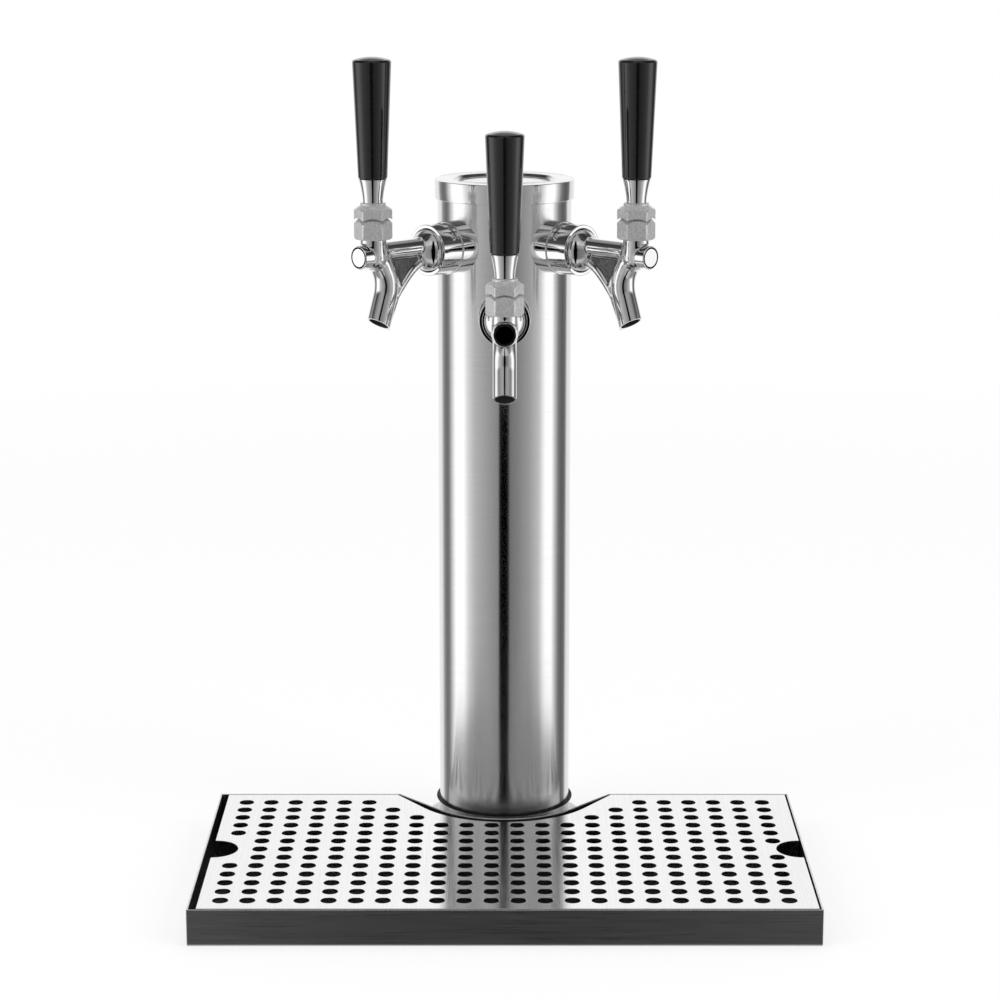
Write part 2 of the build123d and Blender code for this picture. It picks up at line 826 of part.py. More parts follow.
faucet_pieces = {
    "faucet_body": make_faucet_body(),
    "ball_washer": make_ball_washer(),
    "lever": make_lever(),
    "ferrule": make_ferrule(),
    "tap_handle": make_tap_handle(),
    "plunger": make_plunger(),
    "valve_washer": make_valve_washer(),
    "coupling_nut": make_coupling_nut(),
    "coupling_washer": make_coupling_washer(),
    "shank": make_shank(),
    "shank_flange": make_shank_flange(),
    "tail_elbow": make_tail_elbow(),
}

nodes = {
    "base_gasket": make_base_gasket(),
    "base_flange": make_base_flange(),
    "trim_ring": make_trim_ring(),
    "column_tube": make_column_tube(),
    "top_cap": make_top_cap(),
    "insulation_sleeve": make_insulation_sleeve(),
    "drip_pan": make_drip_pan(),
    "drip_grille": make_drip_grille(),
}

for side, angle, height in faucet_places:
    turn = turn_to_customer(angle)
    hexagons = {"bonnet_collar": make_bonnet_collar(turn), "lever_nut": make_lever_nut(turn)}
    for piece, shape in (faucet_pieces | hexagons).items():
        nodes[f"{side}_{piece}"] = place(shape, angle, height)

inner_saddle = make_inner_saddle()
locknut = make_shank_locknut()
nodes["inner_saddles"] = Compound(
    [place(inner_saddle, angle, height) for _, angle, height in faucet_places]
)
nodes["shank_locknuts"] = Compound(
    [place(locknut, angle, height) for _, angle, height in faucet_places]
)

os.makedirs("parts", exist_ok=True)
for name, shape in nodes.items():
    export_step(shape, f"parts/{name}.step")
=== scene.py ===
import json
import math
import bmesh
import bpy
from mathutils import Matrix, Vector


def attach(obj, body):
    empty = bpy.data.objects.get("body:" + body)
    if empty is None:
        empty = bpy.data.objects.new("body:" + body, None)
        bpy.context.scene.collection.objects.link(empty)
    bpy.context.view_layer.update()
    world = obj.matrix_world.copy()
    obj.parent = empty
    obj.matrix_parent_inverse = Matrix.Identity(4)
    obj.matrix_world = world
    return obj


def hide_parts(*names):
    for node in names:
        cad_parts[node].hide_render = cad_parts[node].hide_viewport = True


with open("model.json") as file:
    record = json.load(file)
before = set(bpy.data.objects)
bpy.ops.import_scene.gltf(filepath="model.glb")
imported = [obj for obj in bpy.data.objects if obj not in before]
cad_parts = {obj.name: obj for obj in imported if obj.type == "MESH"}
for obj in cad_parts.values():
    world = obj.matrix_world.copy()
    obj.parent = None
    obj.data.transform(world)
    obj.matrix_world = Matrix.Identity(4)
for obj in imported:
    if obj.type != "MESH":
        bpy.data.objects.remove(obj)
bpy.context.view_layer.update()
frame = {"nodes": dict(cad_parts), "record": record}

# Camera: a long lens about 1.6 m in front of the column, a little above its top.

camera = bpy.data.objects.new("camera", bpy.data.cameras.new("camera"))
bpy.context.scene.collection.objects.link(camera)
camera.location = (-0.002551, -1.600, 0.55335)
camera.rotation_euler = (math.radians(77.468), 0, 0)
camera.data.lens = 101.593
camera.data.sensor_width = 36
bpy.context.scene.camera = camera
bpy.context.scene.view_settings.view_transform = "Standard"


# Studio: a white room with a pale floor. Soft lamps and a dimmer share of the
# room light the object, and the camera sees plain white behind it.

def add_node(tree, kind, inputs=None, **settings):
    """A node with its settings; an input gets a value or is joined to a socket."""
    node = tree.nodes.new(kind)
    for name, value in settings.items():
        setattr(node, name, value)
    for name, value in (inputs or {}).items():
        if isinstance(value, bpy.types.NodeSocket):
            tree.links.new(value, node.inputs[name])
        else:
            node.inputs[name].default_value = value
    return node


def seen_directly(tree):
    """1 for the rays that show a surface as it is, 0 for the rays that carry its light."""
    path = add_node(tree, "ShaderNodeLightPath").outputs
    either = add_node(tree, "ShaderNodeMath",
                      {0: path["Is Camera Ray"], 1: path["Is Glossy Ray"]}, operation="MAXIMUM")
    return add_node(tree, "ShaderNodeMath",
                    {0: either.outputs[0], 1: path["Is Transmission Ray"]},
                    operation="MAXIMUM").outputs[0]


world = bpy.data.worlds.new("studio")
bpy.context.scene.world = world
world.use_nodes = True
tree = world.node_tree
tree.nodes.clear()
room_light = add_node(tree, "ShaderNodeBackground", {"Color": (1, 1, 1, 1), "Strength": 0.6})
white = add_node(tree, "ShaderNodeBackground", {"Color": (1, 1, 1, 1), "Strength": 1.0})
room = add_node(tree, "ShaderNodeMixShader",
                {0: seen_directly(tree), 1: room_light.outputs[0], 2: white.outputs[0]})
add_node(tree, "ShaderNodeOutputWorld", {"Surface": room.outputs[0]})


def empty_material(name):
    material = bpy.data.materials.new(name)
    material.use_nodes = True
    material.node_tree.nodes.clear()
    return material, material.node_tree


def add_object(name, bm, material, crease=35):
    """An object at the origin from a finished bmesh, with edges over a crease in degrees sharp."""
    mesh = bpy.data.meshes.new(name)
    bm.to_mesh(mesh)
    bm.free()
    mesh.shade_smooth()
    mesh.set_sharp_from_angle(angle=math.radians(crease))
    mesh.materials.append(material)
    piece = bpy.data.objects.new(name, mesh)
    bpy.context.scene.collection.objects.link(piece)
    return piece


floor_paint, tree = empty_material("pale_floor")
place = add_node(tree, "ShaderNodeTexCoord").outputs["Object"]
away = add_node(tree, "ShaderNodeVectorMath", {0: place}, operation="LENGTH").outputs["Value"]
whiter = add_node(tree, "ShaderNodeMapRange", {
    "Value": away, "From Min": 0.3, "From Max": 1.6, "To Min": 0.72, "To Max": 1.0}).outputs[0]
share = add_node(tree, "ShaderNodeMath", {0: whiter, 1: seen_directly(tree)},
                 operation="MULTIPLY").outputs[0]
paint = add_node(tree, "ShaderNodeBsdfDiffuse", {"Color": (0.9, 0.9, 0.9, 1)})
glow = add_node(tree, "ShaderNodeEmission", {"Color": (1, 1, 1, 1), "Strength": 1.0})
floor_mix = add_node(tree, "ShaderNodeMixShader",
                     {0: share, 1: paint.outputs[0], 2: glow.outputs[0]})
add_node(tree, "ShaderNodeOutputMaterial", {"Surface": floor_mix.outputs[0]})

bm = bmesh.new()
bmesh.ops.create_circle(bm, cap_ends=True, segments=96, radius=16)
floor = add_object("studio_floor", bm, floor_paint)
floor.visible_glossy = False

# Rings of soft boxes and black flags stand round the object for the metal to
# mirror: a narrow flag in front, a soft box on each side with a flag behind it.
ring_centre_height, ring_radius = 0.3, 5
surround_paint, tree = empty_material("soft_boxes_and_flags")
place = add_node(tree, "ShaderNodeTexCoord").outputs["Object"]
axes = add_node(tree, "ShaderNodeSeparateXYZ", {0: place}).outputs
towards_front = add_node(tree, "ShaderNodeMath", {0: axes["Y"], 1: -1.0}, operation="MULTIPLY")
azimuth = add_node(tree, "ShaderNodeMath", {0: axes["X"], 1: towards_front.outputs[0]},
                   operation="ARCTAN2").outputs[0]
turn = add_node(tree, "ShaderNodeMapRange", {
    "Value": azimuth, "From Min": -math.pi, "From Max": math.pi}).outputs[0]
flat = add_node(tree, "ShaderNodeCombineXYZ", {"X": axes["X"], "Y": axes["Y"]}).outputs[0]
reach = add_node(tree, "ShaderNodeVectorMath", {0: flat}, operation="LENGTH").outputs["Value"]
above = add_node(tree, "ShaderNodeMath", {0: axes["Z"], 1: ring_centre_height},
                 operation="SUBTRACT").outputs[0]
elevation = add_node(tree, "ShaderNodeMath", {0: above, 1: reach}, operation="ARCTAN2").outputs[0]


def panels(*stops):
    """Brightness round the object, by degrees to the right of the camera."""
    ramp = add_node(tree, "ShaderNodeValToRGB", {"Fac": turn})
    for degrees, brightness in stops[1:-1]:
        ramp.color_ramp.elements.new((degrees + 180) / 360)
    for element, (degrees, brightness) in zip(ramp.color_ramp.elements, stops):
        element.position = (degrees + 180) / 360
        element.color = (brightness, brightness, brightness, 1)
    return ramp.outputs["Color"]


def change_at(low, high, below, over):
    """One ring of panels below an elevation and another above it, in degrees."""
    step = add_node(tree, "ShaderNodeMapRange", {
        "Value": elevation, "From Min": math.radians(low), "From Max": math.radians(high)},
        interpolation_type="SMOOTHSTEP").outputs[0]
    mix = add_node(tree, "ShaderNodeMix", data_type="RGBA")
    tree.links.new(step, mix.inputs[0])
    tree.links.new(below, mix.inputs[6])
    tree.links.new(over, mix.inputs[7])
    return mix.outputs[2]


level_ring = panels(
    (-180, 0.95), (-140, 0.80), (-133, 0.30), (-122, 0.14), (-113, 0.20), (-104, 0.65),
    (-95, 1.15), (-76, 1.15), (-66, 0.74), (-52, 0.48), (-30, 0.34), (-11, 0.24), (-8.5, 0.0),
    (6.5, 0.0), (10, 0.16), (24, 0.22), (45, 0.36), (62, 0.56), (75, 1.10), (90, 1.15),
    (98, 0.62), (108, 0.20), (120, 0.10), (132, 0.16), (138, 0.75), (180, 0.95))
raised_ring = panels(
    (-180, 1.0), (-150, 0.9), (-120, 0.12), (-80, 0.04), (-50, 0.28), (-25, 0.38), (-9, 0.28),
    (-7.5, 0.0), (5.5, 0.0), (8, 0.25), (25, 0.36), (50, 0.28), (80, 0.04), (120, 0.12), (150, 0.9),
    (180, 1.0))
high_ring = panels(
    (-180, 0.40), (-120, 0.03), (-60, 0.08), (-25, 0.55), (-9, 0.6), (-7.5, 0.0), (5.5, 0.0),
    (8, 0.6), (25, 0.55), (60, 0.08), (120, 0.03), (180, 0.40))
ground_ring = panels(
    (-180, 0.7), (-140, 0.30), (-60, 0.25), (-30, 0.5), (-9, 0.55), (-7.5, 0.0), (5.5, 0.0),
    (8, 0.55), (30, 0.5), (60, 0.25), (140, 0.30), (180, 0.7))
overhead = panels(
    (-180, 0.55), (-140, 0.45), (-110, 0.04), (-70, 0.03), (-40, 0.30), (0, 0.40), (40, 0.30),
    (70, 0.03), (110, 0.04), (140, 0.45), (180, 0.55))
sides = change_at(-48, -36, ground_ring, level_ring)
sides = change_at(6, 20, sides, raised_ring)
sides = change_at(25, 32, sides, high_ring)
everything = change_at(42, 56, sides, overhead)
glow = add_node(tree, "ShaderNodeEmission", {"Color": everything, "Strength": 1.0})
add_node(tree, "ShaderNodeOutputMaterial", {"Surface": glow.outputs[0]})
surround_paint.cycles.emission_sampling = "NONE"

bm = bmesh.new()
bmesh.ops.create_uvsphere(bm, u_segments=64, v_segments=32, radius=ring_radius)
surround = add_object("soft_boxes", bm, surround_paint)
for ray in ("camera", "diffuse", "transmission", "volume_scatter", "shadow"):
    setattr(surround, "visible_" + ray, False)

for name, spot, size, watts in (("lamp_left", (-1.6, -0.9, 1.5), 1.2, 13),
                                ("lamp_right", (1.6, -0.9, 1.5), 1.2, 13),
                                ("lamp_top", (0, 0.3, 2.2), 1.6, 15)):
    lamp = bpy.data.objects.new(name, bpy.data.lights.new(name, "AREA"))
    bpy.context.scene.collection.objects.link(lamp)
    lamp.location = spot
    lamp.rotation_euler = (Vector((0, 0, 0.2)) - lamp.location).to_track_quat("-Z", "Y").to_euler()
    lamp.data.size = size
    lamp.data.energy = watts
    lamp.visible_glossy = False


# Base gasket: a soft black rubber ring between the flange and the counter,
# cut from sheet, with a hole over each of the four counter bolts.

def turned(outline, steps=144):
    """A round piece about the upright axis from its (radius, height) outline."""
    bm = bmesh.new()
    points = [bm.verts.new((radius, 0, height)) for radius, height in outline]
    ring = outline[0][0] > 0
    for first, second in zip(points, points[1:] + points[:1] if ring else points[1:]):
        bm.edges.new((first, second))
    bmesh.ops.spin(bm, geom=bm.verts[:] + bm.edges[:], cent=(0, 0, 0), axis=(0, 0, 1),
                   angle=2 * math.pi, steps=steps, use_merge=True)
    bmesh.ops.remove_doubles(bm, verts=bm.verts, dist=1e-7)
    bmesh.ops.recalc_face_normals(bm, faces=bm.faces)
    return bm


def soften(bm, width, segments=3, sharper_than=25):
    """Break the sharp edges of a piece."""
    edges = [edge for edge in bm.edges
             if edge.calc_face_angle(0) > math.radians(sharper_than)]
    bmesh.ops.bevel(bm, geom=edges, offset=width, offset_type="OFFSET", segments=segments,
                    profile=0.5, affect="EDGES", material=-1, clamp_overlap=True)


def rod(radius, low, high, segments=48):
    """A plain round bar about the upright axis."""
    bm = bmesh.new()
    bmesh.ops.create_cone(bm, cap_ends=True, segments=segments, radius1=radius, radius2=radius,
                          depth=high - low, matrix=Matrix.Translation((0, 0, (low + high) / 2)))
    return bm


def moved(bm, matrix):
    bmesh.ops.transform(bm, matrix=matrix, verts=bm.verts)
    return bm


def joined(*parts):
    """Several loose shapes in one bmesh."""
    whole = bmesh.new()
    for part in parts:
        mesh = bpy.data.meshes.new("part")
        part.to_mesh(mesh)
        part.free()
        whole.from_mesh(mesh)
        bpy.data.meshes.remove(mesh)
    return whole


def as_shown(holder):
    """The mesh that an object shows, with its modifiers, as a bmesh; the object itself goes."""
    bpy.context.view_layer.update()
    mesh = bpy.data.meshes.new_from_object(
        holder.evaluated_get(bpy.context.evaluated_depsgraph_get()))
    bpy.data.objects.remove(holder)
    shape = bmesh.new()
    shape.from_mesh(mesh)
    return shape


def loose(name, data):
    holder = bpy.data.objects.new(name, data)
    bpy.context.scene.collection.objects.link(holder)
    return holder


def worked(bm, *steps):
    """The shape after modifiers, each given as its kind, a tool or None, and its settings."""
    def blank(shape):
        mesh = bpy.data.meshes.new("blank")
        shape.to_mesh(mesh)
        shape.free()
        return loose("blank", mesh)

    work, tools = blank(bm), []
    for kind, tool, settings in steps:
        modifier = work.modifiers.new(kind, kind)
        for name, value in settings.items():
            setattr(modifier, name, value)
        if tool:
            tools.append(blank(tool))
            modifier.object = tools[-1]
    result = as_shown(work)
    for used in tools:
        bpy.data.objects.remove(used)
    return result


def cut(bm, tool, operation="DIFFERENCE", solver="EXACT"):
    return worked(bm, ("BOOLEAN", tool, {"operation": operation, "solver": solver}))


def grain(tree, size, stretch=(1, 1, 1), detail=3):
    """Noise of a grain size in metres, longer along a direction with a stretch over 1."""
    spot = add_node(tree, "ShaderNodeTexCoord").outputs["Object"]
    scale = [1 / factor for factor in stretch]
    mapped = add_node(tree, "ShaderNodeMapping", {"Vector": spot, "Scale": scale}).outputs[0]
    return add_node(tree, "ShaderNodeTexNoise", {
        "Vector": mapped, "Scale": 1 / size, "Detail": detail}).outputs["Fac"]


def between(tree, factor, low, high, start=0.3, end=0.7):
    """A number, or a colour, that goes from low to high with a pattern."""
    if isinstance(low, (int, float)):
        return add_node(tree, "ShaderNodeMapRange", {
            "Value": factor, "From Min": start, "From Max": end, "To Min": low,
            "To Max": high}).outputs[0]
    ramp = add_node(tree, "ShaderNodeValToRGB", {"Fac": factor})
    for element, position, colour in zip(ramp.color_ramp.elements, (start, end), (low, high)):
        element.position = position
        element.color = (*colour, 1)
    return ramp.outputs["Color"]


def bumped(tree, height, depth):
    """A normal from a pattern, with its depth in metres."""
    return add_node(tree, "ShaderNodeBump", {
        "Height": height, "Strength": 1.0, "Distance": depth}).outputs[0]


def finish(tree, **inputs):
    """The surface shader, with the material's own constants set on its sockets."""
    names = {name.replace("_", " ").title().replace("Ior", "IOR"): value
             for name, value in inputs.items()}
    shader = add_node(tree, "ShaderNodeBsdfPrincipled", names)
    add_node(tree, "ShaderNodeOutputMaterial", {"Surface": shader.outputs[0]})


def show(name, bm, material, body, slot, *nodes, even=True, crease=35):
    """Put a finished piece on its body in place of the nodes that it stands for."""
    piece = add_object(name, bm, material, crease)
    if even:
        piece.modifiers.new("even_shading", "WEIGHTED_NORMAL").keep_sharp = True
    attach(piece, body)
    if nodes:
        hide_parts(*nodes)
    return piece


rubber, tree = empty_material("black_rubber")
speckle = grain(tree, 0.0012)
finish(tree, base_color=between(tree, speckle, (0.010, 0.010, 0.011), (0.026, 0.026, 0.027)),
       roughness=between(tree, grain(tree, 0.004), 0.55, 0.75),
       normal=bumped(tree, speckle, 0.00006))

line_hole_r, base_r, gasket_top = 0.033, 0.046, 0.002
bolt_hole_r, bolt_circle_r = 0.00225, 0.042


def bolt_holes(bm, top):
    """Cut the four counter bolt holes through a ring."""
    holes = [moved(rod(bolt_hole_r, -0.001, top + 0.001),
                   Matrix.Rotation(math.radians(45 + 90 * turn), 4, "Z")
                   @ Matrix.Translation((bolt_circle_r, 0, 0))) for turn in range(4)]
    return cut(bm, joined(*holes))


gasket = turned([(line_hole_r, 0), (base_r, 0), (base_r, gasket_top), (line_hole_r, gasket_top)])
soften(gasket, 0.0003, 2)
show("gasket_ring", bolt_holes(gasket, gasket_top), rubber, "tower", "black_rubber",
     "base_gasket")


# Base flange: turned stainless steel, with a low collar that the column tube
# and its trim ring stand on, and a spigot that goes up inside the tube.

turned_steel, tree = empty_material("turned_stainless")
lathe_lines = grain(tree, 0.0003, (8, 8, 1))
finish(tree, base_color=between(tree, grain(tree, 0.01), (0.78, 0.78, 0.79), (0.88, 0.88, 0.885)),
       metallic=1.0, roughness=between(tree, lathe_lines, 0.34, 0.46),
       normal=bumped(tree, lathe_lines, 0.000012))

tube_r, tube_inner_r = 0.0381, 0.0369
flange_top, collar_top, spigot_r, spigot_top = 0.006, 0.0181, 0.0368, 0.040
flange = turned([(line_hole_r, gasket_top), (base_r, gasket_top), (base_r, flange_top),
                 (tube_r, flange_top), (tube_r, collar_top), (spigot_r, collar_top),
                 (spigot_r, spigot_top), (line_hole_r, spigot_top)])
soften(flange, 0.0006)
show("flange_with_collar", bolt_holes(flange, flange_top), turned_steel, "tower",
     "stainless_base", "base_flange")


# Trim ring: black moulded ring that lies on the collar and closes the joint
# between the collar and the column tube.

trim_black, tree = empty_material("black_moulding")
finish(tree, base_color=between(tree, grain(tree, 0.002), (0.003, 0.003, 0.003),
                                (0.007, 0.007, 0.0075)),
       roughness=between(tree, grain(tree, 0.006), 0.38, 0.52), specular_ior_level=0.12,
       normal=bumped(tree, grain(tree, 0.0006), 0.00001))

ring_r, ring_top = 0.040, 0.019
ring = turned([(tube_inner_r, collar_top), (ring_r, collar_top), (ring_r, ring_top),
               (tube_inner_r, ring_top)])
soften(ring, 0.0003, 3)
show("column_trim_ring", ring, trim_black, "tower", "black_trim", "trim_ring")


# Column tube: 3 inch stainless tube, brushed round and round so that it
# draws what it mirrors into long upright bands. Three holes take the shanks.

def brushed(name, roughness, anisotropy):
    """Stainless steel brushed in rings about the upright axis."""
    material, tree = empty_material(name)
    lines = grain(tree, 0.00035, (60, 60, 1), 2)
    finish(tree, base_color=between(tree, lines, (0.90, 0.90, 0.905), (0.95, 0.95, 0.955)),
           metallic=1.0,
           roughness=between(tree, grain(tree, 0.03), roughness - 0.015, roughness + 0.015),
           anisotropic=anisotropy, anisotropic_rotation=0.25,
           normal=bumped(tree, lines, 0.0000015),
           tangent=add_node(tree, "ShaderNodeTangent", direction_type="RADIAL",
                            axis="Z").outputs[0])
    return material


brushed_tube = brushed("brushed_column", 0.17, 1.0)
# Each faucet's angle from the front in degrees, and the height of its shank.
faucets = {"front": (0, 0.312), "left": (-45, 0.349), "right": (45, 0.349)}


def laid_out(bm, height=0):
    """Lay a shape that was made about the upright axis along a faucet's outward direction."""
    return moved(bm, Matrix.Translation((0, 0, height)) @ Matrix.Rotation(math.pi / 2, 4, "X"))


def on_faucet(bm, side):
    """Turn a faucet's piece round the column and lift it to its own height."""
    angle, height = faucets[side]
    return moved(bm, Matrix.Translation((0, 0, height))
                 @ Matrix.Rotation(math.radians(angle), 4, "Z"))


tube_top, shank_r = 0.383, 0.0112
tube = turned([(tube_inner_r, ring_top), (tube_r, ring_top), (tube_r, tube_top),
               (tube_inner_r, tube_top)], 192)
soften(tube, 0.0002, 1)
shank_holes = joined(*[on_faucet(laid_out(rod(shank_r, 0.025, 0.045)), side) for side in faucets])
show("column", cut(tube, shank_holes), brushed_tube, "tower", "brushed_column", "column_tube",
     even=False)


# Top cap: pressed stainless, loose on the tube, with a shallow dish and a
# spigot that keeps it central. It lifts off to reach the beer lines.

cap_steel = brushed("brushed_cap", 0.13, 0.8)
cap_r, cap_top, cap_low, dish_floor = 0.0396, 0.3845, 0.3735, 0.3825
cap = turned([(0, 0.381), (0.0344, 0.381), (0.0344, 0.375), (0.0356, 0.375), (0.0356, tube_top),
              (0.0384, tube_top), (0.0384, cap_low), (cap_r, cap_low), (cap_r, cap_top),
              (0.0295, cap_top), (0.0285, dish_floor), (0, dish_floor)], 192)
soften(cap, 0.0005)
show("dished_cap", cap, cap_steel, "cap", "brushed_cap", "top_cap", even=False, crease=20)


# Drip pan: a stainless sheet folded into a shallow tray and cut out round
# the column's base. Its rim is painted light as a painted highlight, and its
# floor is painted dark as painted shade. It stands on the counter and pulls out forwards.

satin_sheet, tree = empty_material("satin_pan")
strokes = grain(tree, 0.0005, (60, 60, 1), 3)
finish(tree, base_color=between(tree, strokes, (0.42, 0.42, 0.425), (0.50, 0.50, 0.505)),
       metallic=1.0, roughness=between(tree, strokes, 0.27, 0.32),
       normal=bumped(tree, strokes, 0.000003))

# Painted shade: the pan's floor is painted dark for the shade inside the pan, with random blotches.
shaded_floor_paint, tree = empty_material("painted_shade_pan_floor")
floor_blotches = grain(tree, 0.012, detail=5)
finish(tree, base_color=between(tree, floor_blotches, (0.035, 0.035, 0.036), (0.07, 0.07, 0.071)),
       metallic=1.0, roughness=between(tree, floor_blotches, 0.50, 0.62),
       normal=bumped(tree, grain(tree, 0.0005), 0.000004))

# Painted highlight: the pan's rim is painted light for the light that catches its folded edge.
highlit_rim_paint, tree = empty_material("painted_highlight_pan_rim")
finish(tree, base_color=between(tree, grain(tree, 0.003), (0.80, 0.80, 0.81),
                                (0.95, 0.95, 0.955)),
       metallic=1.0, roughness=between(tree, grain(tree, 0.0008), 0.24, 0.36),
       normal=bumped(tree, grain(tree, 0.0005), 0.000006))


def drawn(curve, knots, pieces, closed=True):
    """An outline: a corner is (x, y), a bend is (spot, before, after) with its handles, and an
    arc is (centre, radius, start, end) in degrees. Each bend or quarter turn has some pieces."""
    placed = []
    for knot in knots:
        if len(knot) == 4:
            centre, radius, start, end = Vector(knot[0]), *knot[1:]
            quarters = math.ceil(abs(end - start) / 90)
            step = math.radians(end - start) / quarters
            pull = 4 / 3 * math.tan(step / 4) * radius
            whole = abs(end - start) == 360
            for count in range(quarters + (not whole)):
                angle = math.radians(start) + step * count
                out = Vector((math.cos(angle), math.sin(angle)))
                along = Vector((-out.y, out.x)) * pull
                placed.append((centre + out * radius,
                               -along if count or whole else None,
                               along if count < quarters else None))
        else:
            placed.append(knot if len(knot) == 3 else (knot, None, None))
    spline = curve.splines.new("BEZIER")
    spline.bezier_points.add(len(placed) - 1)
    spline.resolution_u, spline.use_cyclic_u = pieces, closed
    for point, (spot, before, after) in zip(spline.bezier_points, placed):
        point.handle_left_type = "FREE" if before else "VECTOR"
        point.handle_right_type = "FREE" if after else "VECTOR"
        point.co = (*spot, 0)
        if before:
            point.handle_left = (*(Vector(spot) + before), 0)
        if after:
            point.handle_right = (*(Vector(spot) + after), 0)


def curve_mesh(curve):
    """A filled curve as a closed mesh with outward faces."""
    shape = as_shown(loose("curve", curve))
    bmesh.ops.remove_doubles(shape, verts=shape.verts, dist=1e-6)
    bmesh.ops.recalc_face_normals(shape, faces=shape.faces)
    return shape


def flat_plate(half_thickness, outline, holes=(), edge=0.0, rounds=0):
    """A flat plate about z = 0 with holes in it and its edges broken by a width."""
    curve = bpy.data.curves.new("plate", "CURVE")
    curve.dimensions, curve.fill_mode, curve.extrude = "2D", "BOTH", half_thickness - edge
    curve.bevel_depth, curve.offset, curve.bevel_resolution = edge, -edge, rounds
    drawn(curve, outline, 12)
    for hole in holes:
        drawn(curve, hole, 4)
    return curve_mesh(curve)


def round_cutout(radius, mouth_half, back):
    """The knots of the cut-out: from a back corner straight to the arc, round it and out again."""
    touch = math.degrees(math.atan2(back, mouth_half)
                         - math.acos(radius / math.hypot(mouth_half, back)))
    return [(mouth_half, back), ((0, 0), radius, touch, -180 - touch), (-mouth_half, back)]


half_width, pan_front, pan_back, half_height = 0.168, -0.197, -0.005, 0.01025
pan = flat_plate(half_height, [(-half_width, pan_back), (-half_width, pan_front),
                               (half_width, pan_front), (half_width, pan_back),
                               *round_cutout(0.050, 0.0615, pan_back)])
moved(pan, Matrix.Translation((0, 0, half_height)))
bmesh.ops.dissolve_limit(pan, angle_limit=0.01, verts=pan.verts, edges=pan.edges)
long_edges = [edge for edge in pan.edges
              if all(vert.co.z < 0.0001 for vert in edge.verts) and edge.calc_length() > 0.1
              and abs(edge.verts[0].co.y - edge.verts[1].co.y) < 0.0001]
bmesh.ops.bevel(pan, geom=long_edges, offset=0.0016, offset_type="OFFSET", segments=5,
                profile=0.5, affect="EDGES", material=-1)
rim_height = 0.02
top = [face for face in pan.faces
       if face.normal.z > 0.9 and face.calc_center_median().z > rim_height]
bmesh.ops.delete(pan, geom=top, context="FACES")
pan = worked(pan, ("SOLIDIFY", None, {"thickness": 0.001, "offset": -1, "use_even_offset": True,
                                      "use_quality_normals": True}),
             ("BEVEL", None, {"width": 0.00045, "segments": 3, "limit_method": "ANGLE",
                              "angle_limit": math.radians(50)}))
# Floor faces get the painted shade; faces above the rim height get the painted highlight.
for face in pan.faces:
    height = face.calc_center_median().z
    if face.normal.z > 0.5 and height < 0.003:
        face.material_index = 1
    elif height > rim_height:
        face.material_index = 2
pan = show("folded_pan", pan, satin_sheet, "pan", "satin_pan", "drip_pan")
pan.data.materials.append(shaded_floor_paint)
pan.data.materials.append(highlit_rim_paint)


# Drip grille: brushed stainless sheet with punched round holes, folded down
# at the edges. A round notch in each end lets a finger lift it out.

bright_sheet, tree = empty_material("brushed_grille")
strokes = grain(tree, 0.0004, (1, 80, 1), 3)
finish(tree, base_color=between(tree, strokes, (0.86, 0.86, 0.865), (0.97, 0.97, 0.975)),
       metallic=1.0, roughness=between(tree, strokes, 0.10, 0.17),
       normal=bumped(tree, strokes, 0.0000025))

left, right, front, back = -0.163, 0.166, -0.1952, -0.0068
cutout_r, mouth_half, notch_r, notch_y, hole_r = 0.056, 0.063, 0.014, -0.102, 0.0043
column_pitch, row_pitch, front_margin = 0.0144, 0.0135, 0.0122
gauge, skirt_low, skirt_high, sheet_middle = 0.0012, 0.001, 0.0195, 0.0199
outline = [(left, back), (left, notch_y + notch_r), ((left, notch_y), notch_r, 90, -90),
           (left, notch_y - notch_r), (left, front), (right, front), (right, notch_y - notch_r),
           ((right, notch_y), notch_r, 270, 90), (right, notch_y + notch_r), (right, back),
           *round_cutout(cutout_r, mouth_half, back)]
spots = [((column - 10.5) * column_pitch, front + front_margin + row * row_pitch)
         for row in range(13) for column in range(22)]
# The holes keep clear of the arc, of the corners beside its mouth and of the notches.
punched = [[((x, y), hole_r, 0, 360)] for x, y in spots
           if math.hypot(x, y) > cutout_r + hole_r + 0.0014 and (y < -0.030 or abs(x) > 0.0716)
           and min(math.hypot(x - left, y - notch_y), math.hypot(x - right, y - notch_y))
           > notch_r + hole_r]
sheet = flat_plate(gauge / 2, outline, holes=punched, edge=0.00015)
moved(sheet, Matrix.Translation((0, 0, sheet_middle)))

skirt = bmesh.new()
for low_spot, high_spot in (((left, front), (right, front + gauge)),
                            ((left, front), (left + gauge, back)),
                            ((right - gauge, front), (right, back)),
                            ((left, back - gauge), (-mouth_half, back)),
                            ((mouth_half, back - gauge), (right, back))):
    low_corner, high_corner = Vector((*low_spot, skirt_low)), Vector((*high_spot, skirt_high))
    bmesh.ops.create_cube(skirt, size=1, matrix=Matrix.Translation((low_corner + high_corner) / 2)
                          @ Matrix.Diagonal((*(high_corner - low_corner), 1)))
notches = joined(*[moved(rod(notch_r, 0, 0.03, 64), Matrix.Translation((x, notch_y, 0)))
                   for x in (left, right)])
skirt = worked(skirt, ("BOOLEAN", notches, {"operation": "DIFFERENCE", "solver": "EXACT",
                                            "use_self": True}))
show("punched_grille", cut(sheet, skirt, "UNION", "MANIFOLD"), bright_sheet, "grille",
     "bright_grille", "drip_grille")


# Shank flanges: chrome-plated brass rings, hollowed at the back to sit on the
# column's curve. Each shank's shoulder pulls its own one tight.

def chrome(name, colour, roughness):
    """Bright plating: almost a mirror, with the faint waviness and haze of polishing."""
    material, tree = empty_material(name)
    haze = grain(tree, 0.009)
    finish(tree, base_color=between(tree, haze, tuple(0.96 * part for part in colour), colour),
           metallic=1.0, roughness=between(tree, haze, roughness * 0.7, roughness * 1.4),
           normal=bumped(tree, grain(tree, 0.004, detail=1), 0.000012))
    return material


polished = chrome("polished_chrome", (0.93, 0.93, 0.94), 0.05)

